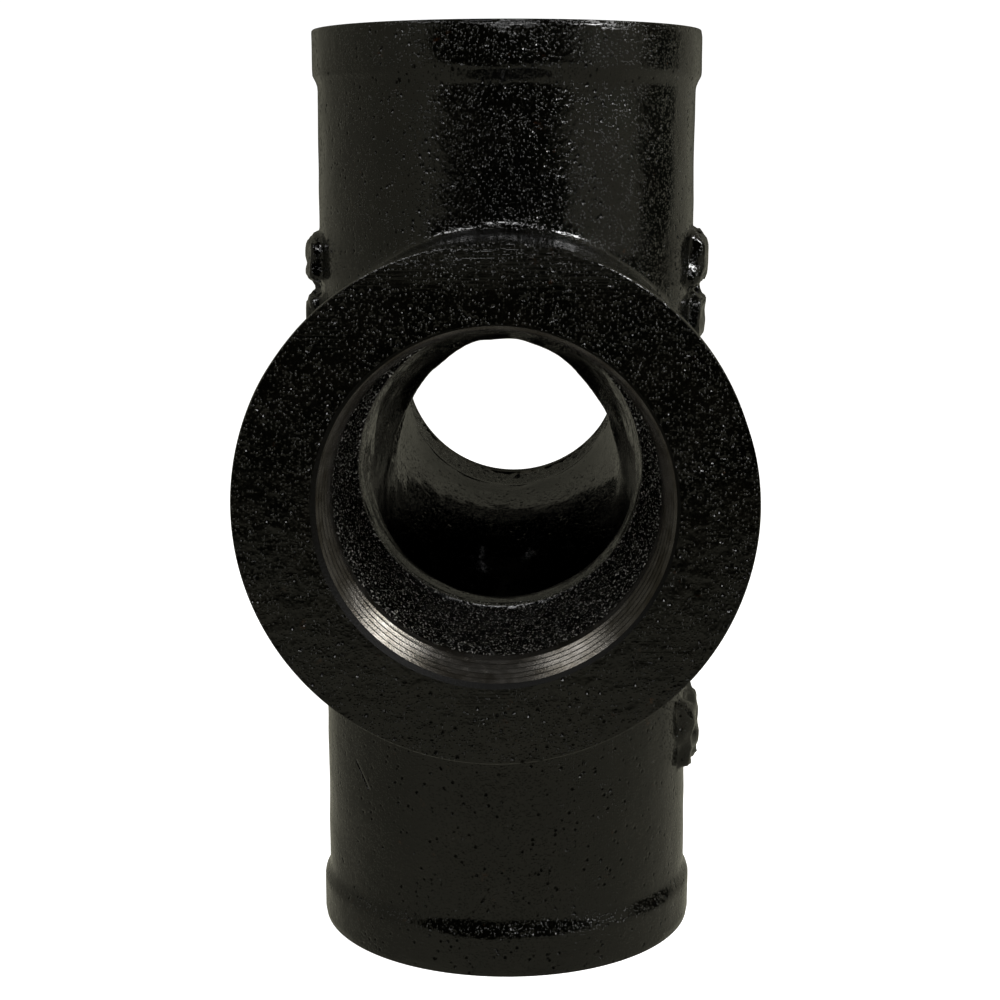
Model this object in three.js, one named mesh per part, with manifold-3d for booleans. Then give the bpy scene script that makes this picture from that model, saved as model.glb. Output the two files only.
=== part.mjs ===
// A cast-iron drainage cross for 2 inch threaded pipe: a vertical run with two opposite inlets that
// sweep down into it. The real object is one casting, held here as named sections that meet on flat
// planes: the hub, two inlet necks, a lower neck and four threaded ends.
// Millimetres, +Z up along the run, inlets along Y, origin at half the height on the run's axis.
import * as THREE from "three";
import { mergeVertices } from "three/addons/utils/BufferGeometryUtils.js";
import Module from "manifold-3d";

// Overall sizes: the run is centred on the origin and the inlets sit above its middle.
const HALF_HEIGHT = 98.5;
const INLET_HEIGHT = 15;
const INLET_REACH = 110;

// Outside of the barrels, and the raised band round each end.
const RUN_RADIUS = 40.6;
const RUN_BAND_RADIUS = 41.8;
const INLET_RADIUS = 42.8;
const INLET_BAND_RADIUS = 44.1;
const BAND_LENGTH = 9.3;
const BAND_SLOPE = 2.2;
const RIM_BEVEL = { radial: 0.2, axial: 1.2 };

// Inside: the bore, and the cast recess behind each thread, which narrows down to a low shoulder.
const BORE_RADIUS = 26.6;
const RECESS = { atThread: 28.9, atShoulder: 27.3, depth: 42.5 };

// How each inlet bends down into the run: the tight bend shapes its floor, the long one its roof.
const FLOOR_BEND = { radius: 61, start: 61 };
const ROOF_BEND = { radius: 88, start: 67.5 };
const BEND_BORE_RADIUS = 26.55;
const BEND_OUTER_RADIUS = 40.4;

// Pipe thread for 2 inch pipe, 11.5 threads an inch. Its crests widen towards the face.
const PITCH = 25.4 / 11.5;
const THREAD_LENGTH = 13.5;
const THREAD_HEIGHT = 0.85;
const CREST_RADIUS = { atFace: 29.85, atEnd: 28.4 };
const MOUTH_RADIUS = 30.7;
const MOUTH_CHAMFER = 0.9;

// Section planes: where one named piece of the casting ends and the next begins.
const HUB_TOP = 62;
const HUB_BOTTOM = -47;
const HUB_DEPTH = 54;
const END_LENGTH = 30;

// Raised foundry marks on the sides of the run: the height of each one's middle, and its size.
const MARK_RADIUS = 44.1;
const MARK_WIDTH = 26;
const UPPER_MARKS = [
  { z: 50, height: 9.6 },
  { z: 38.5, height: 9.6 },
];
const LOWER_MARK = { z: -55.5, height: 15 };

// How finely curves are cut into flats.
const OUTER_SEGMENTS = 48;
const INNER_SEGMENTS = 28;
const BEND_STEPS = 8;

const QUARTER_TURN = Math.PI / 2;

// A cut runs this far past the surface it opens, a section box reaches far outside the casting, and
// vertices closer together than a sliver are joined.
const RUNNING_OVER = 2;
const OUT = 300;
const SLIVER = 0.03;

const wasm = await Module();
wasm.setup();

// A closed three.js geometry as a solid that can be joined and cut.
function solid(geometry) {
  const bare = geometry.clone();
  bare.deleteAttribute("normal");
  bare.deleteAttribute("uv");
  const merged = mergeVertices(bare, 1e-4);
  const surface = new wasm.Mesh({
    numProp: 3,
    vertProperties: new Float32Array(merged.getAttribute("position").array),
    triVerts: new Uint32Array(merged.index.array),
  });
  return new wasm.Manifold(surface);
}

// A solid as a named mesh with flat-shaded faces.
function namedMesh(name, shape, material) {
  const surface = shape.getMesh();
  const geometry = new THREE.BufferGeometry();
  geometry.setAttribute("position", new THREE.BufferAttribute(surface.vertProperties, 3));
  geometry.setIndex(new THREE.BufferAttribute(surface.triVerts, 1));
  const flat = geometry.toNonIndexed();
  flat.computeVertexNormals();
  const mesh = new THREE.Mesh(flat, material);
  mesh.name = name;
  return mesh;
}

function unite(solids) {
  return solids.reduce((joined, next) => joined.add(next));
}

// A profile of [radius, height] pairs, from the axis round to the axis, turned about Z.
function turned(profile, segments) {
  const points = profile.map(([radius, height]) => new THREE.Vector2(radius, height));
  return new THREE.LatheGeometry(points, segments).rotateX(QUARTER_TURN);
}

function cylinder(radius, bottom, top, segments) {
  const profile = [
    [0, bottom],
    [radius, bottom],
    [radius, top],
    [0, top],
  ];
  return solid(turned(profile, segments));
}

function block(low, high) {
  const size = high.map((value, axis) => value - low[axis]);
  const middle = high.map((value, axis) => (value + low[axis]) / 2);
  return solid(new THREE.BoxGeometry(...size).translate(...middle));
}

// A barrel runs straight through the fitting from one face to the other. It is made along Z about
// the origin, then turned onto its own axis and lifted to its own height.
const RUN = {
  turn: 0,
  lift: 0,
  reach: HALF_HEIGHT,
  radius: RUN_RADIUS,
  band: RUN_BAND_RADIUS,
  passageStart: 0,
};
const INLETS = {
  turn: QUARTER_TURN,
  lift: INLET_HEIGHT,
  reach: INLET_REACH,
  radius: INLET_RADIUS,
  band: INLET_BAND_RADIUS,
  passageStart: FLOOR_BEND.start - RUNNING_OVER,
};

// Puts a geometry made at the +Z end of a barrel at that end, or at its other end.
function atEnd(geometry, barrel, otherEnd) {
  const turn = otherEnd ? barrel.turn + Math.PI : barrel.turn;
  return solid(geometry.rotateX(turn).translate(0, 0, barrel.lift));
}

// The radius of the thread's crests, which narrows with the depth below the face.
function crestRadius(depth) {
  const share = depth / THREAD_LENGTH;
  return CREST_RADIUS.atFace + (CREST_RADIUS.atEnd - CREST_RADIUS.atFace) * share;
}

// A barrel with its two raised bands and the small bevel round each rim.
function barrelOutside(barrel) {
  const bandStart = barrel.reach - BAND_LENGTH;
  const upperHalf = [
    [barrel.radius, bandStart - BAND_SLOPE],
    [barrel.band, bandStart],
    [barrel.band, barrel.reach - RIM_BEVEL.axial],
    [barrel.band - RIM_BEVEL.radial, barrel.reach],
    [0, barrel.reach],
  ];
  const lowerHalf = upperHalf.map(([radius, height]) => [radius, -height]).reverse();
  return atEnd(turned([...lowerHalf, ...upperHalf], OUTER_SEGMENTS), barrel, false);
}

// The passage at one end of a barrel, out through its face: bore, recess, thread crests, chamfer.
function endPassage(barrel, otherEnd) {
  const face = barrel.reach;
  const chamferSlope = (MOUTH_RADIUS - crestRadius(MOUTH_CHAMFER)) / MOUTH_CHAMFER;
  const profile = [
    [0, barrel.passageStart],
    [BORE_RADIUS, barrel.passageStart],
    [BORE_RADIUS, face - RECESS.depth],
    [RECESS.atShoulder, face - RECESS.depth],
    [RECESS.atThread, face - THREAD_LENGTH],
    [crestRadius(THREAD_LENGTH), face - THREAD_LENGTH],
    [crestRadius(MOUTH_CHAMFER), face - MOUTH_CHAMFER],
    [MOUTH_RADIUS + chamferSlope * RUNNING_OVER, face + RUNNING_OVER],
    [0, face + RUNNING_OVER],
  ];
  return atEnd(turned(profile, INNER_SEGMENTS), barrel, otherEnd);
}

// The groove between the thread's crests: a long V bar wound onto a right-hand tapering helix.
// It starts half a pitch outside the face and fades out over the last part of a turn.
function threadGroove(barrel, otherEnd) {
  const steps = Math.round((THREAD_LENGTH / PITCH) * INNER_SEGMENTS);
  const turns = steps / INNER_SEGMENTS;
  const fadeTurns = 0.75;
  const inset = 0.35;
  const flank = Math.tan(Math.PI / 6);
  const mouth = THREAD_HEIGHT * flank;
  const back = (THREAD_HEIGHT + inset) * flank;
  const section = new THREE.Shape([
    new THREE.Vector2(-inset, -back),
    new THREE.Vector2(0, -mouth),
    new THREE.Vector2(THREAD_HEIGHT, 0),
    new THREE.Vector2(0, mouth),
    new THREE.Vector2(-inset, back),
  ]);
  const bar = new THREE.ExtrudeGeometry(section, { depth: 1, steps, bevelEnabled: false });
  const position = bar.getAttribute("position");
  for (let i = 0; i < position.count; i += 1) {
    const along = position.getZ(i) * turns;
    const depth = (along - 0.5) * PITCH - position.getY(i);
    const fade = Math.min(1, (turns - along) / fadeTurns);
    const out = position.getX(i) > 0 ? position.getX(i) * fade : position.getX(i);
    const radius = crestRadius(depth) + out;
    const angle = -2 * Math.PI * along;
    const height = barrel.reach - depth;
    position.setXYZ(i, radius * Math.cos(angle), radius * Math.sin(angle), height);
  }
  return atEnd(bar, barrel, otherEnd);
}

// A bend's centre line, from where it leaves the inlet's axis to the run's axis. `side` is -1 in
// front and +1 behind.
class BendLine extends THREE.Curve {
  constructor(bend, side) {
    super();
    this.bend = bend;
    this.side = side;
  }

  getPoint(t, target = new THREE.Vector3()) {
    const { radius, start } = this.bend;
    const angle = t * Math.asin(start / radius);
    const outward = start - radius * Math.sin(angle);
    const drop = radius * (1 - Math.cos(angle));
    return target.set(0, this.side * outward, INLET_HEIGHT - drop);
  }
}

function bentBar(bend, side, radius, segments) {
  const corners = [];
  for (let i = 0; i < segments; i += 1) {
    const angle = (2 * Math.PI * i) / segments;
    corners.push(new THREE.Vector2(radius * Math.cos(angle), radius * Math.sin(angle)));
  }
  const extrudePath = new BendLine(bend, side);
  const options = { steps: BEND_STEPS, bevelEnabled: false, extrudePath };
  return solid(new THREE.ExtrudeGeometry(new THREE.Shape(corners), options));
}

// A raised pad that follows the run's round side, `side` -1 or +1 along X.
function foundryMark({ z, height }, side) {
  const ring = cylinder(MARK_RADIUS, z - height / 2, z + height / 2, OUTER_SEGMENTS);
  const reach = [0, side * MARK_RADIUS * 2].sort((a, b) => a - b);
  const slab = block([reach[0], -MARK_WIDTH / 2, -HALF_HEIGHT], [reach[1], MARK_WIDTH / 2, HALF_HEIGHT]);
  return ring.intersect(slab);
}

function castOutside() {
  const barrels = [RUN, INLETS].map(barrelOutside);
  const bends = [-1, 1].map((side) => bentBar(FLOOR_BEND, side, BEND_OUTER_RADIUS, OUTER_SEGMENTS));
  const upperMarks = UPPER_MARKS.flatMap((mark) => [foundryMark(mark, -1), foundryMark(mark, 1)]);
  return unite([...barrels, ...bends, ...upperMarks, foundryMark(LOWER_MARK, 1)]);
}

// Everything the casting is hollow for: the passages, with the thread grooves cut wider at the ends.
function hollow() {
  const bends = [FLOOR_BEND, ROOF_BEND].flatMap((bend) =>
    [-1, 1].map((side) => bentBar(bend, side, BEND_BORE_RADIUS, INNER_SEGMENTS)),
  );
  const ends = [RUN, INLETS].flatMap((barrel) =>
    [false, true].flatMap((otherEnd) => [endPassage(barrel, otherEnd), threadGroove(barrel, otherEnd)]),
  );
  return unite([...bends, ...ends]);
}

// The boxes that cut the casting into its sections, each [low corner, high corner].
const BOTTOM_END = -HALF_HEIGHT + END_LENGTH;
const INLET_END = INLET_REACH - END_LENGTH;
const SECTIONS = {
  hub: [[-OUT, -HUB_DEPTH, HUB_BOTTOM], [OUT, HUB_DEPTH, HUB_TOP]],
  top_threaded_end: [[-OUT, -OUT, HUB_TOP], [OUT, OUT, OUT]],
  bottom_neck: [[-OUT, -OUT, BOTTOM_END], [OUT, OUT, HUB_BOTTOM]],
  bottom_threaded_end: [[-OUT, -OUT, -OUT], [OUT, OUT, BOTTOM_END]],
  front_neck: [[-OUT, -INLET_END, HUB_BOTTOM], [OUT, -HUB_DEPTH, HUB_TOP]],
  front_threaded_end: [[-OUT, -OUT, HUB_BOTTOM], [OUT, -INLET_END, HUB_TOP]],
  back_neck: [[-OUT, HUB_DEPTH, HUB_BOTTOM], [OUT, INLET_END, HUB_TOP]],
  back_threaded_end: [[-OUT, INLET_END, HUB_BOTTOM], [OUT, OUT, HUB_TOP]],
};

function castIron() {
  return new THREE.MeshStandardMaterial({ color: 0x1d1b18, roughness: 0.42, metalness: 0.2 });
}

const casting = castOutside().subtract(hollow()).simplify(SLIVER);
const fitting = new THREE.Group();
fitting.name = "drainage_cross";
for (const [name, [low, high]] of Object.entries(SECTIONS)) {
  fitting.add(namedMesh(name, casting.intersect(block(low, high)), castIron()));
}

export default fitting;
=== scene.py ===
"""The looks of a black cast-iron drainage cross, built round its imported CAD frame.

The casting is a distance field with fillets, foundry marks and the unevenness of a sand mould. It is
meshed, machined flat at its four faces and cut into the sections that the CAD model names. Each port
then gets its own turned insert: the chamfer, the thread, the rough cast recess behind it and the
shoulder where that meets the bore.
Lengths in this script are millimetres; meshes, lights and the camera are written in metres.
"""

import math

import bpy
import numpy as np
import openvdb
from mathutils import Matrix, Vector


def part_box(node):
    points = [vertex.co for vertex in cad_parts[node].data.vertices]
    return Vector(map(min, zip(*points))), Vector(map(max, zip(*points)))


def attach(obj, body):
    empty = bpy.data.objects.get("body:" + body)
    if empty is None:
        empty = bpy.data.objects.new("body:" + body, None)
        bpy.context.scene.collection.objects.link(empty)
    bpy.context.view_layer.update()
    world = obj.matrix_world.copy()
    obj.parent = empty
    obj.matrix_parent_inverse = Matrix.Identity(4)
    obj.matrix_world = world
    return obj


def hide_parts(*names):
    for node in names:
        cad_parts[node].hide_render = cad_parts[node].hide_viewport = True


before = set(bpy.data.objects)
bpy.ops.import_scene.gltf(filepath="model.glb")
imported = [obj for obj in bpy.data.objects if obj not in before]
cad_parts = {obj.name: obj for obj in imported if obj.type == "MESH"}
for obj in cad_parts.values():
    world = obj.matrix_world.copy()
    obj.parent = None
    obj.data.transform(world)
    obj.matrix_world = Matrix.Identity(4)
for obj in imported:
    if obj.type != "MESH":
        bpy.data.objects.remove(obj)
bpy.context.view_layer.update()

MM = 0.001
SEED = 20260


def box_mm(node):
    """A CAD node's lowest and highest corners, in millimetres."""
    low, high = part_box(node)
    return np.array(low) / MM, np.array(high) / MM


# ---- Sizes that come from the CAD frame -------------------------------------------------------

top_low, top_high = box_mm("top_threaded_end")
front_low, front_high = box_mm("front_threaded_end")
front_neck_low, front_neck_high = box_mm("front_neck")
bottom_neck_low, bottom_neck_high = box_mm("bottom_neck")

RUN_REACH = top_high[2]
RUN_BAND_RADIUS = top_high[0]
INLET_REACH = -front_low[1]
INLET_BAND_RADIUS = front_high[0]
INLET_HEIGHT = (front_low[2] + front_high[2]) / 2
HUB_TOP = top_low[2]
HUB_DEPTH = -front_neck_high[1]
INLET_NECK_END = -front_neck_low[1]
HUB_BOTTOM = bottom_neck_high[2]
RUN_NECK_END = bottom_neck_low[2]

# ---- Sizes shared with the CAD source ---------------------------------------------------------

RUN_RADIUS = 40.6
INLET_RADIUS = 42.8
BAND_LENGTH = 9.3
BAND_SLOPE = 2.2
BEVEL_RADIAL = 0.2
BEVEL_AXIAL = 1.2
FLOOR_BEND = {"radius": 61.0, "start": 61.0}
ROOF_BEND = {"radius": 88.0, "start": 67.5}
BEND_OUTER_RADIUS = 40.4
BORE_RADIUS = 26.6
RECESS_AT_THREAD = 28.9
RECESS_AT_SHOULDER = 27.3
RECESS_DEPTH = 42.5
PITCH = 25.4 / 11.5
THREAD_LENGTH = 13.5
THREAD_HEIGHT = 0.85
CREST_AT_FACE = 29.85
CREST_AT_END = 28.4
MOUTH_RADIUS = 30.7
MOUTH_CHAMFER = 0.9
MARK_RADIUS = 44.1
MARK_HALF_WIDTH = 13.0
MARKS = [
    {"side": 1, "z": 50.5, "height": 11.0},
    {"side": 1, "z": 38.5, "height": 10.0},
    {"side": -1, "z": 50.5, "height": 10.0},
    {"side": -1, "z": 38.5, "height": 9.6},
    {"side": 1, "z": -54.2, "height": 14.4},
]

# ---- Details that only the visual model has ---------------------------------------------------

VOXEL = 0.9
MARGIN = 4.0
OVERLONG = 2.0
CAST_SKIN = 0.1
BAND_CREASE = 0.3
CROTCH_FILLET = 1.6
RIM_EDGE = 0.15
BODY_ROUNDING = 1.2
BEND_OVERLAP = 1.0
BEND_FILLET = 1.2
PASSAGE_ROUNDING = 0.8
MARK_RISE = 2.9
MARK_JAGGEDNESS = 0.8
MARK_RAGGED_EDGE = 0.9
MARK_ROUNDING = 0.5
MARK_FILLET = 0.5
MARK_LUMP_SPACINGS = (3.4, 2.0)
MARK_TOP_GAP = 0.1
SEAM_HEIGHT = 0.22
SEAM_WIDTH = 0.9
WIDTH_GAP = 0.02
SOCKET_DEPTH = 45.0
INSERT_CLEARANCE = 0.01
TURNED_SEGMENTS = 192
ROWS_PER_PITCH = 22
# How uneven the sand left each surface: pairs of a height and the spacing of its features.
OUTSIDE_UNEVENNESS = ((0.07, 9.0), (0.025, 2.8))
PASSAGE_UNEVENNESS = ((0.10, 6.0), (0.06, 2.6))

HALF_TURN = math.pi
QUARTER_TURN = math.pi / 2


def port_frame(y, z, turn):
    """A port's own frame, in metres: the origin is its face's centre and +Z points out of it."""
    return Matrix.Translation((0, y * MM, z * MM)) @ Matrix.Rotation(turn, 4, "X")


PORTS = {
    "top": {"frame": port_frame(0, RUN_REACH, 0), "band": RUN_BAND_RADIUS},
    "bottom": {"frame": port_frame(0, -RUN_REACH, HALF_TURN), "band": RUN_BAND_RADIUS},
    "front": {
        "frame": port_frame(-INLET_REACH, INLET_HEIGHT, QUARTER_TURN),
        "band": INLET_BAND_RADIUS,
    },
    "back": {
        "frame": port_frame(INLET_REACH, INLET_HEIGHT, -QUARTER_TURN),
        "band": INLET_BAND_RADIUS,
    },
}

# ---- Distance fields --------------------------------------------------------------------------


def grid_axis(half):
    steps = math.ceil((half + MARGIN) / VOXEL)
    return (np.arange(-steps, steps + 1) * VOXEL).astype(np.float32)


AXES = [grid_axis(INLET_BAND_RADIUS), grid_axis(INLET_REACH), grid_axis(RUN_REACH)]
ORIGIN = np.array([axis[0] for axis in AXES])
x = AXES[0][:, None, None]
y = AXES[1][None, :, None]
z = AXES[2][None, None, :]
run_radial = np.hypot(x, y)
inlet_radial = np.hypot(x, z - INLET_HEIGHT)
rng = np.random.default_rng(SEED)


def smooth_union(a, b, reach):
    """Joins two distance fields with a fillet about `reach` wide where they meet."""
    share = np.clip(0.5 + 0.5 * (b - a) / reach, 0, 1)
    return b * (1 - share) + a * share - reach * share * (1 - share)


def blurred(field, sigma):
    """The field after a Gaussian blur, which rounds its edges the way a sand mould does."""
    half = math.ceil(3 * sigma / VOXEL)
    offsets = np.arange(-half, half + 1)
    weights = np.exp(-0.5 * (offsets * VOXEL / sigma) ** 2)
    weights = (weights / weights.sum()).astype(np.float32)
    for axis in range(3):
        pad = [(half, half) if a == axis else (0, 0) for a in range(3)]
        padded = np.pad(field, pad, mode="edge")
        field = np.zeros_like(field)
        for shift, weight in enumerate(weights):
            window = [slice(None)] * 3
            window[axis] = slice(shift, shift + field.shape[axis])
            field += weight * padded[tuple(window)]
    return field


def spline_rows(axis, spacing):
    """Cubic B-spline weights that spread a coarse lattice over the finer places of one axis."""
    place = (axis - axis[0]) / spacing + 1
    distance = np.abs(place[:, None] - np.arange(int(place[-1]) + 3)[None, :])
    near = 2 / 3 - distance**2 + distance**3 / 2
    far = np.clip(2 - distance, 0, None) ** 3 / 6
    return np.where(distance < 1, near, far).astype(np.float32)


def lattice_noise(spacing):
    """Smooth noise over the whole grid, with features about `spacing` wide and a spread of 1."""
    rows = [spline_rows(axis, spacing) for axis in AXES]
    lattice = rng.standard_normal([row.shape[1] for row in rows]).astype(np.float32)
    noise = np.tensordot(rows[0], lattice, axes=(1, 0))
    noise = np.tensordot(noise, rows[1], axes=(1, 1))
    noise = np.tensordot(noise, rows[2], axes=(1, 1))
    return noise / noise.std()


def barrel(radial, along, radius, reach):
    return np.maximum(radial - radius, np.abs(along) - (reach + OVERLONG))


def band(radial, along, radius, barrel_radius, reach):
    """A raised band round both ends, with a short slope down to the barrel."""
    rise = (radius - barrel_radius) / BAND_SLOPE
    beyond = np.abs(along) - (reach - BAND_LENGTH)
    slope = (radial - radius - beyond * rise) / math.hypot(1, rise)
    return np.maximum(np.maximum(radial - radius, slope), beyond - (BAND_LENGTH + OVERLONG))


def bends(bend, tube_radius):
    """Both inlets' bends, from where they leave the inlets' axis down into the run."""
    centre = INLET_HEIGHT - bend["radius"]
    from_centre = np.hypot(np.abs(y) - bend["start"], z - centre)
    tube = np.hypot(x, from_centre - bend["radius"]) - tube_radius
    return np.maximum(tube, np.maximum(np.abs(y) - bend["start"], centre - z))


def foundry_marks(lumps):
    """Worn, unreadable raised patches on the sides of the run."""
    top = RUN_RADIUS + MARK_RISE + MARK_JAGGEDNESS * lumps
    top = np.minimum(top, MARK_RADIUS - MARK_TOP_GAP)
    over = run_radial - top
    marks = np.full_like(lumps, MARGIN)
    for mark in MARKS:
        edge = np.maximum(np.abs(y) - MARK_HALF_WIDTH, np.abs(z - mark["z"]) - mark["height"] / 2)
        far_side = -mark["side"] * x
        patch = np.maximum(over, np.maximum(edge + MARK_RAGGED_EDGE * lumps, far_side))
        marks = np.minimum(marks, patch)
    return blurred(marks, MARK_ROUNDING)


def outside():
    """The cast outside, overlong at its ends, which are machined later."""
    run = barrel(run_radial, z, RUN_RADIUS, RUN_REACH)
    inlets = barrel(inlet_radial, y, INLET_RADIUS, INLET_REACH)
    body = smooth_union(run, inlets, CROTCH_FILLET)
    body = blurred(np.minimum(body, bends(FLOOR_BEND, BEND_OUTER_RADIUS)), BODY_ROUNDING)
    run_band = band(run_radial, z, RUN_BAND_RADIUS - CAST_SKIN / 2, RUN_RADIUS, RUN_REACH)
    inlet_band = band(
        inlet_radial, y, INLET_BAND_RADIUS - CAST_SKIN / 2, INLET_RADIUS, INLET_REACH
    )
    body = smooth_union(body, run_band, BAND_CREASE)
    body = smooth_union(body, inlet_band, BAND_CREASE)
    coarse, fine = (lattice_noise(spacing) for spacing in MARK_LUMP_SPACINGS)
    body = smooth_union(body, foundry_marks((coarse + fine) / math.sqrt(2)), MARK_FILLET)
    body = body - SEAM_HEIGHT * np.exp(-((x / SEAM_WIDTH) ** 2))
    for height, spacing in OUTSIDE_UNEVENNESS:
        body = body - height * lattice_noise(spacing)
    return np.maximum(body, np.abs(x) - (INLET_BAND_RADIUS - WIDTH_GAP))


def passages():
    """The cored inside: the run's bore, the inlets' bores and the bends between them."""
    run = run_radial - BORE_RADIUS + 0 * z
    inlets_from = FLOOR_BEND["start"] - BEND_OVERLAP
    inlets = np.maximum(inlet_radial - BORE_RADIUS, inlets_from - np.abs(y))
    for bend in (FLOOR_BEND, ROOF_BEND):
        inlets = np.minimum(inlets, bends(bend, BORE_RADIUS))
    hollow = blurred(smooth_union(run, inlets, BEND_FILLET), PASSAGE_ROUNDING)
    for height, spacing in PASSAGE_UNEVENNESS:
        hollow = hollow + height * lattice_noise(spacing)
    return hollow


CASTING = np.maximum(outside(), -passages()).astype(np.float32)
GRADIENT = np.stack(np.gradient(CASTING), axis=-1)


def gradient_at(points):
    """The casting's outward normals at points in millimetres."""
    place = (points - ORIGIN) / VOXEL
    base = np.clip(np.floor(place).astype(int), 0, np.array(CASTING.shape) - 2)
    share = place - base
    total = np.zeros_like(points)
    for corner in np.ndindex(2, 2, 2):
        weight = np.prod(np.where(corner, share, 1 - share), axis=1)
        i, j, k = (base + corner).T
        total += weight[:, None] * GRADIENT[i, j, k]
    return total / np.linalg.norm(total, axis=1, keepdims=True)


# ---- Meshes -----------------------------------------------------------------------------------


def new_mesh(name, points_mm, faces):
    mesh = bpy.data.meshes.new(name)
    mesh.from_pydata((np.asarray(points_mm) * MM).tolist(), [], faces)
    return mesh


def new_object(name, mesh):
    piece = bpy.data.objects.new(name, mesh)
    bpy.context.scene.collection.objects.link(piece)
    return piece


def discard(piece):
    mesh = piece.data
    bpy.data.objects.remove(piece)
    bpy.data.meshes.remove(mesh)


def casting_object():
    """The whole casting as one closed mesh of quads."""
    reach = 3 * VOXEL
    grid = openvdb.FloatGrid(reach)
    grid.copyFromArray(np.clip(CASTING, -reach, reach))
    points, quads = grid.convertToQuads()
    mesh = new_mesh("casting", points * VOXEL + ORIGIN, quads.tolist())
    return new_object("casting", mesh)


def turned_object(name, profile, frame_matrix):
    """A closed solid turned about +Z from (radius, height) pairs that start and end on the axis."""
    angles = np.arange(TURNED_SEGMENTS) * 2 * math.pi / TURNED_SEGMENTS
    rings = profile[1:-1]
    points = [(0, 0, profile[0][1])]
    for radius, height in rings:
        points += [(radius * math.cos(a), radius * math.sin(a), height) for a in angles]
    points.append((0, 0, profile[-1][1]))
    faces = []
    for s in range(TURNED_SEGMENTS):
        t = (s + 1) % TURNED_SEGMENTS
        faces.append((0, 1 + t, 1 + s))
        for ring in range(len(rings) - 1):
            a = 1 + ring * TURNED_SEGMENTS
            b = a + TURNED_SEGMENTS
            faces.append((a + s, a + t, b + t, b + s))
        last = 1 + (len(rings) - 1) * TURNED_SEGMENTS
        faces.append((last + s, last + t, len(points) - 1))
    mesh = new_mesh(name, points, faces)
    mesh.transform(frame_matrix)
    return new_object(name, mesh)


def socket_tool(name, port):
    """What machining takes away at a port: all beyond the face, the rim's bevel and the socket."""
    beyond = 2 * OVERLONG + MARGIN
    rim = port["band"] - BEVEL_RADIAL
    widening = MARGIN
    profile = [
        (0, -SOCKET_DEPTH),
        (MOUTH_RADIUS, -SOCKET_DEPTH),
        (MOUTH_RADIUS, 0),
        (rim - RIM_EDGE, 0),
        (rim, -RIM_EDGE),
        (rim + widening, -RIM_EDGE - widening * BEVEL_AXIAL / BEVEL_RADIAL),
        (rim + widening, beyond),
        (0, beyond),
    ]
    return turned_object(name, profile, port["frame"])


def boolean(piece, tool, operation):
    """The mesh of `piece` after cutting it by, or with, `tool`."""
    modifier = piece.modifiers.new("cut", "BOOLEAN")
    modifier.operation = operation
    modifier.solver = "MANIFOLD"
    modifier.object = tool
    evaluated = piece.evaluated_get(bpy.context.evaluated_depsgraph_get())
    mesh = bpy.data.meshes.new_from_object(evaluated)
    piece.modifiers.remove(modifier)
    return mesh


def machined_casting():
    casting = casting_object()
    for name, port in PORTS.items():
        tool = socket_tool(name + "_tool", port)
        rough = casting.data
        casting.data = boolean(casting, tool, "DIFFERENCE")
        bpy.data.meshes.remove(rough)
        discard(tool)
    return casting


def block_object(name, low, high):
    """A closed box between two opposite corners."""
    ends = list(zip(low, high))
    corners = [(cx, cy, cz) for cz in ends[2] for cy in ends[1] for cx in ends[0]]
    faces = [(0, 2, 3, 1), (4, 5, 7, 6), (0, 1, 5, 4), (2, 6, 7, 3), (0, 4, 6, 2), (1, 3, 7, 5)]
    return new_object(name, new_mesh(name, corners, faces))


# ---- Shading of the casting's faces -----------------------------------------------------------

ON_SURFACE = 0.03
ON_CAP = 0.01
CAST, GROUND = 0, 1


def read(items, attribute, width, kind=np.float32):
    values = np.empty(len(items) * width, kind)
    items.foreach_get(attribute, values)
    return values.reshape(-1, width) if width > 1 else values


def port_places(port, points_mm):
    """Radius, height and outward radial direction of points, in a port's own frame."""
    inverse = np.array(port["frame"].inverted())
    local = points_mm @ inverse[:3, :3].T + inverse[:3, 3] / MM
    radius = np.hypot(local[:, 0], local[:, 1])
    spoke = local[:, :2] / np.maximum(radius, ON_SURFACE)[:, None]
    return radius, local[:, 2], spoke


def cone_normals(port, points_mm, slope):
    """Normals of a cone round a port's axis that narrows by `slope` for each unit towards the face."""
    spoke = port_places(port, points_mm)[2]
    local = np.hstack([spoke, np.full((len(points_mm), 1), slope)]) / math.hypot(1, slope)
    return local @ np.array(port["frame"])[:3, :3].T


def machined_faces(port, centres):
    """Which faces lie on a port's ground face, on the edge round it and on the rim's bevel."""
    radius, height, _ = port_places(port, centres)
    on_face = (np.abs(height) < ON_SURFACE) & (radius < port["band"])
    near_edge = (radius > port["band"] - 2 * BEVEL_RADIAL - RIM_EDGE) & (height > -RIM_EDGE)
    on_edge = near_edge & (height < -ON_SURFACE)
    rim = port["band"] - BEVEL_RADIAL - (height + RIM_EDGE) * BEVEL_RADIAL / BEVEL_AXIAL
    on_bevel = np.abs(radius - rim) < ON_SURFACE
    on_bevel &= (height < -RIM_EDGE) & (height > -BAND_LENGTH)
    return on_face, on_edge, on_bevel


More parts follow.
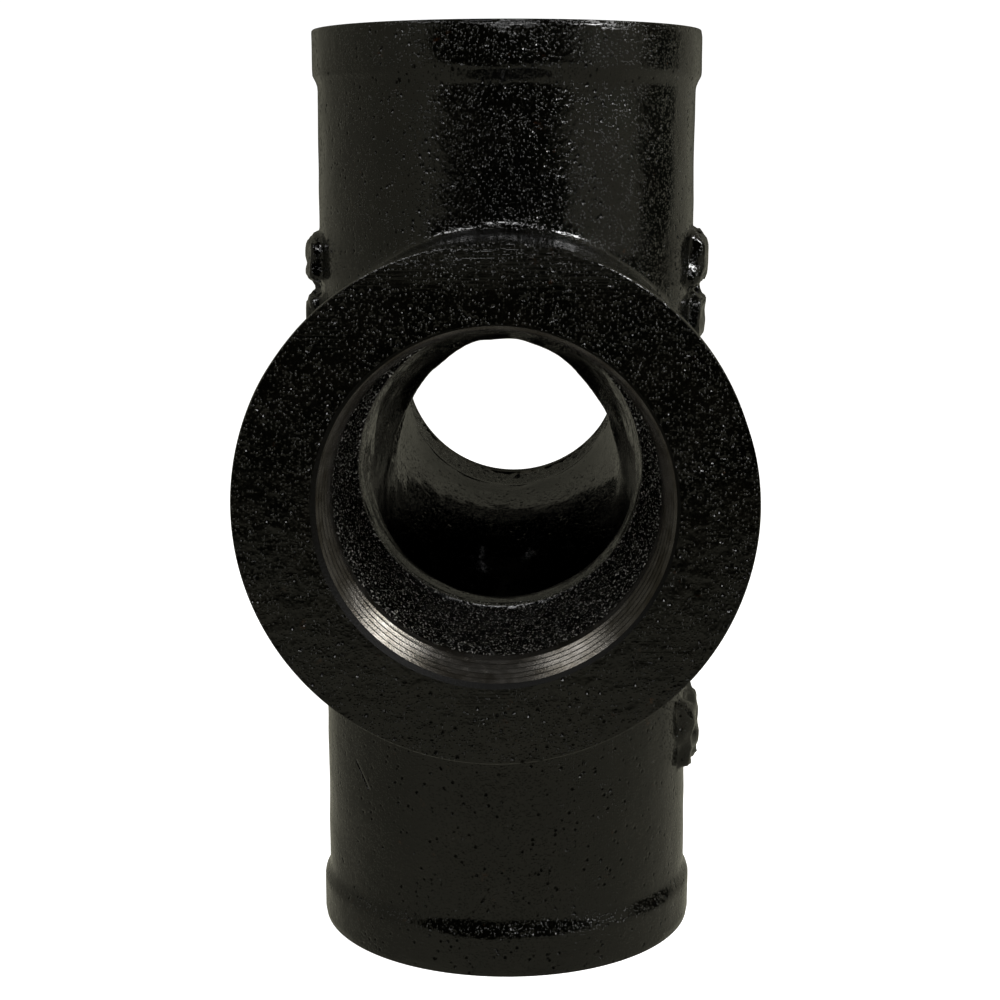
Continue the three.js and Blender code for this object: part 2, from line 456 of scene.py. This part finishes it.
def shade(mesh, caps):
    """Sets smooth cast normals from the distance field, and exact ones on what was machined."""
    points = read(mesh.vertices, "co", 3) / MM
    centres = read(mesh.polygons, "center", 3) / MM
    flat_normals = read(mesh.polygons, "normal", 3)
    corners = read(mesh.loops, "vertex_index", 1, np.int32)
    sizes = read(mesh.polygons, "loop_total", 1, np.int32)
    owner = np.repeat(np.arange(len(sizes)), sizes)
    normals = gradient_at(points)[corners]
    ground = np.zeros(len(centres), bool)
    for port in PORTS.values():
        on_face, on_edge, on_bevel = machined_faces(port, centres)
        ground |= on_face | on_edge | on_bevel
        flat = on_face[owner]
        normals[flat] = flat_normals[owner[flat]]
        for on_cone, slope in ((on_edge, 1), (on_bevel, BEVEL_RADIAL / BEVEL_AXIAL)):
            chosen = on_cone[owner]
            normals[chosen] = cone_normals(port, points[corners[chosen]], slope)
    for axis, place in caps:
        on_cap = np.abs(centres[:, axis] - place) < ON_CAP
        on_cap &= np.abs(flat_normals[:, axis]) > 1 - ON_SURFACE
        normals[on_cap[owner]] = flat_normals[owner[on_cap[owner]]]
    kinds = np.where(ground, GROUND, CAST).astype(np.int32)
    mesh.polygons.foreach_set("material_index", kinds)
    mesh.normals_split_custom_set(normals.tolist())


# ---- Sections of the casting ------------------------------------------------------------------

FAR = 200.0
SECTIONS = {
    "hub": ((-FAR, -HUB_DEPTH, HUB_BOTTOM), (FAR, HUB_DEPTH, HUB_TOP)),
    "top_threaded_end": ((-FAR, -FAR, HUB_TOP), (FAR, FAR, FAR)),
    "bottom_neck": ((-FAR, -FAR, RUN_NECK_END), (FAR, FAR, HUB_BOTTOM)),
    "bottom_threaded_end": ((-FAR, -FAR, -FAR), (FAR, FAR, RUN_NECK_END)),
    "front_neck": ((-FAR, -INLET_NECK_END, HUB_BOTTOM), (FAR, -HUB_DEPTH, HUB_TOP)),
    "front_threaded_end": ((-FAR, -FAR, HUB_BOTTOM), (FAR, -INLET_NECK_END, HUB_TOP)),
    "back_neck": ((-FAR, HUB_DEPTH, HUB_BOTTOM), (FAR, INLET_NECK_END, HUB_TOP)),
    "back_threaded_end": ((-FAR, INLET_NECK_END, HUB_BOTTOM), (FAR, FAR, HUB_TOP)),
}


def add_section(node, casting, materials):
    """The stretch of the casting that one CAD node names, as a closed piece of its own."""
    low, high = SECTIONS[node]
    cutter = block_object(node + "_cutter", low, high)
    mesh = boolean(casting, cutter, "INTERSECT")
    discard(cutter)
    mesh.name = node
    mesh.materials.clear()
    for material in materials:
        mesh.materials.append(material)
    planes = [(axis, corner[axis]) for corner in (low, high) for axis in range(3)]
    shade(mesh, [(axis, place) for axis, place in planes if abs(place) < FAR])
    piece = new_object(node + "_cast", mesh)
    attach(piece, "root")
    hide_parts(node)


# ---- Threaded inserts -------------------------------------------------------------------------

THREAD_CORNER = 0.12
THREAD_SOFTNESS = 0.003
RUN_OUT = 2.4
RECESS_STEP = 0.5
RECESS_ROUGHNESS = 0.26
RECESS_GRAIN = 1.3
SHOULDER_BEVEL = 0.5
CREASE_ANGLE = 50
THREAD_METAL, RECESS_CAST, CHAMFER_DULL = 0, 1, 2


def crest_radius(depth):
    return CREST_AT_FACE + (CREST_AT_END - CREST_AT_FACE) * depth / THREAD_LENGTH


def groove(depth, angle):
    """How far the thread is cut in, from 0 on a crest to 1 at a root, along a right-hand helix."""
    turns = -depth / PITCH - angle / (2 * math.pi)
    wave = 1 - np.abs(2 * (turns % 1) - 1)
    rise = (wave - THREAD_CORNER) / (1 - 2 * THREAD_CORNER)
    soft_rise = np.sqrt(rise**2 + THREAD_SOFTNESS) - np.sqrt((rise - 1) ** 2 + THREAD_SOFTNESS)
    return (soft_rise + 1) / 2


def threaded_radii(depth, angle):
    widening = MOUTH_RADIUS - crest_radius(MOUTH_CHAMFER)
    chamfer = MOUTH_RADIUS - INSERT_CLEARANCE - widening * depth / MOUTH_CHAMFER
    fade = np.clip((THREAD_LENGTH - depth) / RUN_OUT, 0, 1)
    thread = crest_radius(depth) + THREAD_HEIGHT * fade * groove(depth, angle)
    return np.maximum(chamfer, thread)


def wrapped_noise(shape, spacing_rows, spacing_columns):
    """Smooth noise on a sheet that joins up with itself both ways, with a spread of 1."""
    rows = np.fft.fftfreq(shape[0])[:, None] * spacing_rows
    columns = np.fft.fftfreq(shape[1])[None, :] * spacing_columns
    soften = np.exp(-2 * (rows**2 + columns**2))
    noise = np.fft.ifft2(np.fft.fft2(rng.standard_normal(shape)) * soften).real
    return noise / noise.std()


def insert_sheet():
    """Depths and radii of an insert's inside, from its mouth down, and what each row is made of."""
    angle = np.arange(TURNED_SEGMENTS) * 2 * math.pi / TURNED_SEGMENTS
    thread_depth = np.arange(0, THREAD_LENGTH, PITCH / ROWS_PER_PITCH)[:, None]
    thread = threaded_radii(thread_depth, angle[None, :])
    recess_depth = np.arange(THREAD_LENGTH + RECESS_STEP, RECESS_DEPTH, RECESS_STEP)[:, None]
    around = 2 * math.pi * RECESS_AT_THREAD / TURNED_SEGMENTS
    sheet = (len(recess_depth), TURNED_SEGMENTS)
    grain = wrapped_noise(sheet, RECESS_GRAIN / RECESS_STEP, RECESS_GRAIN / around)
    down = (recess_depth - THREAD_LENGTH) / (RECESS_DEPTH - THREAD_LENGTH)
    recess = RECESS_AT_THREAD + (RECESS_AT_SHOULDER - RECESS_AT_THREAD) * down
    recess = recess + RECESS_ROUGHNESS * grain
    bevel_end = RECESS_DEPTH + SHOULDER_BEVEL / 2
    shoulder_depth = np.array([[RECESS_DEPTH], [bevel_end], [SOCKET_DEPTH]])
    shoulder_radius = np.array([[BORE_RADIUS + SHOULDER_BEVEL], [BORE_RADIUS], [BORE_RADIUS]])
    shoulder = np.broadcast_to(shoulder_radius, (3, TURNED_SEGMENTS))
    depth = np.concatenate([thread_depth, recess_depth, shoulder_depth])
    radius = np.concatenate([thread, recess, shoulder])
    kinds = np.where(depth < THREAD_LENGTH, THREAD_METAL, RECESS_CAST)
    kinds = np.where(depth < MOUTH_CHAMFER, CHAMFER_DULL, kinds)
    return np.broadcast_to(depth, radius.shape), radius, angle, kinds[:, 0]


def add_insert(name, port, materials):
    """A port's turned insert: its inside sheet, closed by a plain outer wall."""
    depth, radius, angle, row_kinds = insert_sheet()
    outer = np.full((1, TURNED_SEGMENTS), MOUTH_RADIUS - INSERT_CLEARANCE)
    depth = np.concatenate([depth, np.full_like(outer, SOCKET_DEPTH)])
    radius = np.concatenate([radius, outer])
    row_kinds = np.append(row_kinds, RECESS_CAST)
    points = np.stack([radius * np.cos(angle), radius * np.sin(angle), -depth], axis=-1)
    rows = len(radius)
    faces = []
    for i in range(rows):
        a = i * TURNED_SEGMENTS
        b = (i + 1) % rows * TURNED_SEGMENTS
        for s in range(TURNED_SEGMENTS):
            t = (s + 1) % TURNED_SEGMENTS
            faces.append((a + s, a + t, b + t, b + s))
    mesh = new_mesh(name, points.reshape(-1, 3), faces)
    mesh.transform(port["frame"])
    for material in materials:
        mesh.materials.append(material)
    kinds = np.repeat(row_kinds, TURNED_SEGMENTS).astype(np.int32)
    mesh.polygons.foreach_set("material_index", kinds)
    mesh.polygons.foreach_set("use_smooth", [True] * len(faces))
    mesh.set_sharp_from_angle(angle=math.radians(CREASE_ANGLE))
    piece = new_object(name, mesh)
    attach(piece, "root")


# ---- Materials --------------------------------------------------------------------------------


class Nodes:
    """A node tree, built by adding one node at a time."""

    def __init__(self, tree):
        self.tree = tree

    def add(self, kind, inputs=None, **settings):
        node = self.tree.nodes.new("ShaderNode" + kind)
        for key, value in settings.items():
            setattr(node, key, value)
        for key, value in (inputs or {}).items():
            self.put(node.inputs[key], value)
        return node

    def put(self, socket, value):
        if isinstance(value, bpy.types.NodeSocket):
            self.tree.links.new(value, socket)
        else:
            socket.default_value = value

    def math(self, operation, a, b=0.0):
        return self.add("Math", {0: a, 1: b}, operation=operation).outputs[0]

    def ramp(self, value, low, high, to_low=0.0, to_high=1.0):
        inputs = {
            "Value": value,
            "From Min": low,
            "From Max": high,
            "To Min": to_low,
            "To Max": to_high,
        }
        return self.add("MapRange", inputs).outputs[0]


class Shader(Nodes):
    """A new material's node tree, with the surface shader that it feeds."""

    def __init__(self, name):
        self.material = bpy.data.materials.new(name)
        self.material.use_nodes = True
        super().__init__(self.material.node_tree)
        self.surface = self.tree.nodes["Principled BSDF"]
        self.place = self.add("TexCoord").outputs["Object"]

    def set(self, **values):
        for key, value in values.items():
            self.put(self.surface.inputs[key.replace("_", " ")], value)

    def noise(self, size, detail=2.0, roughness=0.5, place=None):
        """Noise from 0 to 1 with features about `size` millimetres wide."""
        inputs = {
            "Vector": place or self.place,
            "Scale": 1 / (size * MM),
            "Detail": detail,
            "Roughness": roughness,
        }
        return self.add("TexNoise", inputs).outputs["Fac"]

    def stretched(self, size):
        """Places squeezed so that a feature 1 mm wide becomes `size` millimetres along each axis."""
        inputs = {0: self.place, 1: [1 / s for s in size]}
        return self.add("VectorMath", inputs, operation="MULTIPLY").outputs[0]

    def patches(self, size, low, high, detail=2.0, roughness=0.5, values=(0.0, 1.0)):
        """Noise pulled apart between `low` and `high`, so that it leaves patches."""
        return self.ramp(self.noise(size, detail, roughness), low, high, *values)

    def cells(self, size):
        """A Voronoi pattern with cells about `size` millimetres wide."""
        return self.add("TexVoronoi", {"Vector": self.place, "Scale": 1 / (size * MM)}).outputs

    def mix(self, share, a, b):
        node = self.add("Mix", data_type="RGBA")
        self.put(node.inputs[0], share)
        self.put(node.inputs[6], a)
        self.put(node.inputs[7], b)
        return node.outputs[2]

    def bump(self, height, depth_mm, normal=None):
        inputs = {"Height": height, "Distance": depth_mm * MM, "Strength": 1.0}
        if normal:
            inputs["Normal"] = normal
        return self.add("Bump", inputs).outputs[0]


WHITE = (1, 1, 1, 1)
# Sizes and depths in millimetres; a patch starts at `low` in its noise and is whole at `high`.
SWELL_DEPTH = 0.09
SWELL_SIZE = 1.9
FACE_SWELL_SIZE = 2.6
GRAIN_SIZE = 0.42
GRAIN_DEPTH = 0.13
GRAIN_SPREAD = 0.6
GRAIN_PATCHES = {"size": 12.0, "low": 0.35, "high": 0.65, "values": (0.55, 0.25)}
RECESS_GRAIN_SIZE = 0.8
RECESS_GRAIN_DEPTH = 0.4
PIT_SPACING = 1.6
PIT_PATCH_SIZE = 2.72
PIT_PATCHES = (0.49, 0.53)
PIT_EDGE = 0.32
PIT_BOTTOM = 0.1
PIT_DEPTH = 0.2
RUBBED_PATCHES = {"size": 24.0, "low": 0.55, "high": 0.7, "detail": 1.0, "values": (0.0, 0.4)}
GRINDING_STRETCH = (22.0, 5.0, 0.45)
GRINDING_DEPTH = 0.16
GRINDING_HEIGHTS = (49.0, 56.0)
SCRATCH_PLACE = (-30.5, 0.0, -59.0)
SCRATCH_SLANT = 0.5
SCRATCH_SIZE = (0.35, 3.4)
SCRATCH_TAPER = 0.8
SCRATCH_DEPTH = 0.5
THREAD_GRAIN = {"size": 0.3, "depth": 0.03}
CHAMFER_GRAIN = {"size": 0.4, "depth": 0.1}
COATING = (0.0005, 0.0005, 0.0003, 1)
COATING_WORN = (0.0016, 0.0014, 0.0009, 1)
WORN_PATCHES = {"size": 9.0, "low": 0.42, "high": 0.75, "detail": 4.0}
RUST = (0.016, 0.006, 0.002, 1)
RUST_SPOTS = {"size": 3.2, "low": 0.66, "high": 0.78, "detail": 5.0, "roughness": 0.7}
COATING_ROUGHNESS = {"size": 1.2, "low": 0.3, "high": 0.7, "detail": 3.0, "values": (0.05, 0.13)}
COATING_SPECULAR = 0.5
# Sheen left at a pit's middle: turned down as painted shade inside the pits.
PIT_SHADE_SPECULAR = 0.05
THREAD_STEEL = (0.075, 0.07, 0.062, 1)
THREAD_FILM = (0.035, 0.031, 0.024, 1)
THREAD_TARNISH = {"size": 5.0, "low": 0.4, "high": 0.65, "detail": 3.0, "roughness": 0.6}
THREAD_ROUGHNESS = {"size": 1.5, "low": 0.3, "high": 0.7, "detail": 3.0, "values": (0.18, 0.28)}
THREAD_METALLIC = 0.8
# Pale flecks in the recess's base colour: painted glints, standing in for its sparkle over bare grain.
RECESS_GLINT_FLECK = (0.5, 0.49, 0.45, 1)
RECESS_GLINT_FLECKS = {"size": 0.4, "low": 0.58, "high": 0.66, "detail": 2.5, "roughness": 0.7}
RECESS_DULLNESS = 0.25
CHAMFER_DULLNESS = 0.55
CHAMFER_SPECULAR = 0.12
CHAMFER_WEAR_SIZE = 1.5
FLOOR_SHADES = (0.86, 0.86, 0.86, 1), (0.9, 0.9, 0.9, 1)
FLOOR_SHADE_SIZE = 60.0
FLOOR_DULLNESS = 0.9
FLOOR_GLOW = 1.0


def coating_colour(shader):
    """Near-black coating, thinner in patches, with a few faint rusty spots."""
    colour = shader.mix(shader.patches(**WORN_PATCHES), COATING, COATING_WORN)
    return shader.mix(shader.patches(**RUST_SPOTS), colour, RUST)


def pits(shader):
    """Small round pits in patches: 1 at a pit's middle and 0 elsewhere."""
    hole = shader.ramp(shader.cells(PIT_SPACING)["Distance"], PIT_EDGE, PIT_BOTTOM)
    kept = shader.patches(PIT_PATCH_SIZE, *PIT_PATCHES, detail=1.0)
    return shader.math("MULTIPLY", hole, kept)


def coated(name, normal_of):
    """The glossy coating over the normals that `normal_of` builds, with pits whose sheen is turned down
    as painted shade.
    """
    shader = Shader(name)
    holes = pits(shader)
    normal = shader.bump(shader.math("MULTIPLY", holes, -1.0), PIT_DEPTH, normal_of(shader))
    gloss = shader.patches(**COATING_ROUGHNESS)
    # The pits' sheen is turned down here as painted shade, standing in for the shadow inside them.
    sheen_with_pit_shade = shader.ramp(holes, 0.0, 1.0, COATING_SPECULAR, PIT_SHADE_SPECULAR)
    shader.set(Base_Color=coating_colour(shader), Roughness=gloss)
    shader.set(Normal=normal, Specular_IOR_Level=sheen_with_pit_shade)
    return shader.material


def grains(shader, size):
    """Separate steep domes about `size` millimetres apart, as sand leaves them, fewer in patches."""
    cells = shader.cells(size)
    dome = shader.ramp(cells["Distance"], GRAIN_SPREAD, 0.0)
    chance = shader.add("SeparateColor", {0: cells["Color"]}).outputs[0]
    kept = shader.math("GREATER_THAN", chance, shader.patches(**GRAIN_PATCHES))
    return shader.math("MULTIPLY", shader.math("MULTIPLY", dome, dome), kept)


def sand_cast(shader):
    """Sand-mould skin: a faint swell with separate sharp grains standing on it, and one scratch."""
    normal = shader.bump(shader.noise(SWELL_SIZE), SWELL_DEPTH)
    normal = shader.bump(grains(shader, GRAIN_SIZE), GRAIN_DEPTH, normal)
    return shader.bump(slanting_scratch(shader), SCRATCH_DEPTH, normal)


def ground_flat(shader):
    """The same grain, crossed by level grinding lines in places and near the face's top."""
    stretched = shader.stretched(GRINDING_STRETCH)
    lines = shader.noise(1.0, detail=3.0, roughness=0.65, place=stretched)
    ground = shader.patches(**RUBBED_PATCHES)
    height = shader.add("SeparateXYZ", {0: shader.place}).outputs[2]
    near_top = shader.ramp(height, *(edge * MM for edge in GRINDING_HEIGHTS))
    ground = shader.math("MAXIMUM", ground, near_top)
    normal = shader.bump(shader.noise(FACE_SWELL_SIZE), SWELL_DEPTH)
    normal = shader.bump(grains(shader, GRAIN_SIZE), GRAIN_DEPTH, normal)
    return shader.bump(shader.math("MULTIPLY", lines, ground), GRINDING_DEPTH, normal)


def slanting_scratch(shader):
    """A dent: -1 along a short slanting line on the lower left of the run, and 0 elsewhere."""
    inputs = {0: shader.place, 1: [c * MM for c in SCRATCH_PLACE]}
    from_middle = shader.add("VectorMath", inputs, operation="SUBTRACT").outputs[0]
    rotation = {"Vector": from_middle, "Axis": (0, 1, 0), "Angle": SCRATCH_SLANT}
    upright = shader.add("VectorRotate", rotation).outputs[0]
    parts = shader.add("SeparateXYZ", {0: upright}).outputs
    width, length = (size * MM for size in SCRATCH_SIZE)
    across = shader.ramp(shader.math("ABSOLUTE", parts[0]), width, 0.0)
    along = shader.ramp(shader.math("ABSOLUTE", parts[2]), length, SCRATCH_TAPER * length)
    in_front = shader.math("LESS_THAN", parts[1], 0.0)
    line = shader.math("MULTIPLY", across, along)
    return shader.math("MULTIPLY", shader.math("MULTIPLY", line, in_front), -1.0)


def thread_material():
    """The cut thread: bare iron under a thin film that is darker in patches."""
    shader = Shader("cut_thread")
    colour = shader.mix(shader.patches(**THREAD_TARNISH), THREAD_STEEL, THREAD_FILM)
    normal = shader.bump(shader.noise(THREAD_GRAIN["size"]), THREAD_GRAIN["depth"])
    gloss = shader.patches(**THREAD_ROUGHNESS)
    shader.set(Base_Color=colour, Roughness=gloss, Normal=normal, Metallic=THREAD_METALLIC)
    return shader.material


def recess_material():
    """The rough cast recess: black, with small pale flecks of bare grain where the coating is thin,
    painted bright so that they also stand in as its glints.
    """
    shader = Shader("rough_recess")
    # The pale flecks mixed into the colour here are painted glints.
    colour = shader.mix(shader.patches(**RECESS_GLINT_FLECKS), COATING, RECESS_GLINT_FLECK)
    normal = shader.bump(grains(shader, RECESS_GRAIN_SIZE), RECESS_GRAIN_DEPTH)
    shader.set(Base_Color=colour, Roughness=RECESS_DULLNESS, Normal=normal)
    return shader.material


def chamfer_material():
    """The thread's mouth chamfer, under a dull film."""
    shader = Shader("dull_chamfer")
    colour = shader.mix(shader.noise(CHAMFER_WEAR_SIZE, detail=3.0), COATING, COATING_WORN)
    normal = shader.bump(shader.noise(CHAMFER_GRAIN["size"]), CHAMFER_GRAIN["depth"])
    shader.set(Base_Color=colour, Roughness=CHAMFER_DULLNESS, Normal=normal)
    shader.set(Specular_IOR_Level=CHAMFER_SPECULAR)
    return shader.material


def floor_material():
    shader = Shader("pale_floor")
    shade_of_white = shader.mix(shader.noise(FLOOR_SHADE_SIZE), *FLOOR_SHADES)
    shader.set(Base_Color=shade_of_white, Roughness=FLOOR_DULLNESS)
    shader.set(Emission_Color=WHITE, Emission_Strength=FLOOR_GLOW)
    return shader.material


# ---- Stage, lights and camera -----------------------------------------------------------------

FLOOR_HALF = 9000.0
CAMERA_PLACE = (7.44, -418.35, 73.52)
CAMERA_YAW = 1.217
CAMERA_PITCH = -10.434
CAMERA_ROLL = 0.045
CAMERA_LENS = 68.387
CAMERA_SENSOR = 36.0
CAMERA_NEAR = 10.0
LIGHTS_AIM = (0, -100, 0)
LIGHTS = [
    {"name": "left", "place": (-475, -337, 728), "size": (260, 300), "power": 2.2},
    {"name": "right", "place": (590, -343, 636), "size": (240, 300), "power": 6.0},
    {"name": "front", "place": (0, -800, 680), "size": (420, 180), "power": 2.6},
]
# The surround that lights and reflects in the object: dim and warm, darker where it has gaps. A gap is
# dark inside one angle from its middle and gone outside another; `left` is what remains of the light.
SURROUND = (1.0, 0.97, 0.76, 1)
SURROUND_STRENGTH = 0.3
BACKDROP_STRENGTH = 1.1
GAPS = [
    {"towards": (0, -0.783, 0.622), "dark_within": 50, "gone_by": 55, "left": 0.0},
    {"towards": (0, 0, 1), "dark_within": 25, "gone_by": 40, "left": 0.0},
    {"towards": (0.965, 0.223, 0.139), "dark_within": 14, "gone_by": 22, "left": 0.05},
    {"towards": (-0.96, 0.28, 0), "dark_within": 30, "gone_by": 60, "left": 0.75},
    {"towards": (0, 1, 0.2), "dark_within": 15, "gone_by": 32, "left": 0.3},
]


def add_floor():
    signs = ((-1, -1), (1, -1), (1, 1), (-1, 1))
    corners = [(sx * FLOOR_HALF, sy * FLOOR_HALF, -RUN_REACH) for sx, sy in signs]
    mesh = new_mesh("floor", corners, [(0, 1, 2, 3)])
    mesh.materials.append(floor_material())
    floor = new_object("floor", mesh)
    floor.visible_glossy = False


def surround_strength(nodes):
    """The surround's strength in each direction, dimmed towards every gap."""
    direction = nodes.add("TexCoord").outputs["Generated"]
    strength = SURROUND_STRENGTH
    for gap in GAPS:
        inputs = {0: direction, 1: Vector(gap["towards"]).normalized()}
        facing = nodes.add("VectorMath", inputs, operation="DOT_PRODUCT").outputs["Value"]
        gone_by, dark_within = (math.cos(math.radians(gap[key])) for key in ("gone_by", "dark_within"))
        share = nodes.ramp(facing, gone_by, dark_within, 1.0, gap["left"])
        strength = nodes.math("MULTIPLY", share, strength)
    return strength


def add_world():
    """A plain white backdrop, and round the object a dim surround with dark gaps in it."""
    world = bpy.data.worlds.new("studio")
    world.use_nodes = True
    nodes = Nodes(world.node_tree)
    surround = nodes.tree.nodes["Background"]
    nodes.put(surround.inputs["Color"], SURROUND)
    nodes.put(surround.inputs["Strength"], surround_strength(nodes))
    backdrop = nodes.add("Background", {"Color": WHITE, "Strength": BACKDROP_STRENGTH})
    camera_sees = nodes.add("LightPath").outputs["Is Camera Ray"]
    inputs = {0: camera_sees, 1: surround.outputs[0], 2: backdrop.outputs[0]}
    chosen = nodes.add("MixShader", inputs).outputs[0]
    nodes.put(nodes.tree.nodes["World Output"].inputs["Surface"], chosen)
    bpy.context.scene.world = world


def aimed(place, aim):
    """A matrix in metres at `place` whose -Z points at `aim`."""
    direction = Vector(aim) - Vector(place)
    turn = direction.to_track_quat("-Z", "Y").to_matrix().to_4x4()
    return Matrix.Translation(Vector(place) * MM) @ turn


def add_light(name, place, size, power):
    light = bpy.data.lights.new(name, "AREA")
    light.shape = "RECTANGLE"
    light.size = size[0] * MM
    light.size_y = size[1] * MM
    light.energy = power
    lamp = bpy.data.objects.new(name, light)
    lamp.matrix_world = aimed(place, LIGHTS_AIM)
    bpy.context.scene.collection.objects.link(lamp)


def add_camera():
    lens = bpy.data.cameras.new("camera")
    lens.lens = CAMERA_LENS
    lens.sensor_width = CAMERA_SENSOR
    lens.clip_start = CAMERA_NEAR * MM
    camera = bpy.data.objects.new("camera", lens)
    camera.matrix_world = (
        Matrix.Translation(Vector(CAMERA_PLACE) * MM)
        @ Matrix.Rotation(math.radians(CAMERA_YAW), 4, "Z")
        @ Matrix.Rotation(math.radians(CAMERA_PITCH), 4, "X")
        @ Matrix.Rotation(math.radians(CAMERA_ROLL), 4, "Y")
        @ Matrix.Rotation(QUARTER_TURN, 4, "X")
    )
    bpy.context.scene.collection.objects.link(camera)
    bpy.context.scene.camera = camera


# ---- The scene --------------------------------------------------------------------------------

casting = machined_casting()
cast = coated("coated_casting", sand_cast)
ground = coated("coated_ground_face", ground_flat)
for node in SECTIONS:
    add_section(node, casting, [cast, ground])
discard(casting)

inside = [thread_material(), recess_material(), chamfer_material()]
for name, port in PORTS.items():
    add_insert(name + "_port_thread", port, inside)

add_floor()
add_world()
for settings in LIGHTS:
    add_light(**settings)
add_camera()
bpy.context.scene.view_settings.view_transform = "Standard"
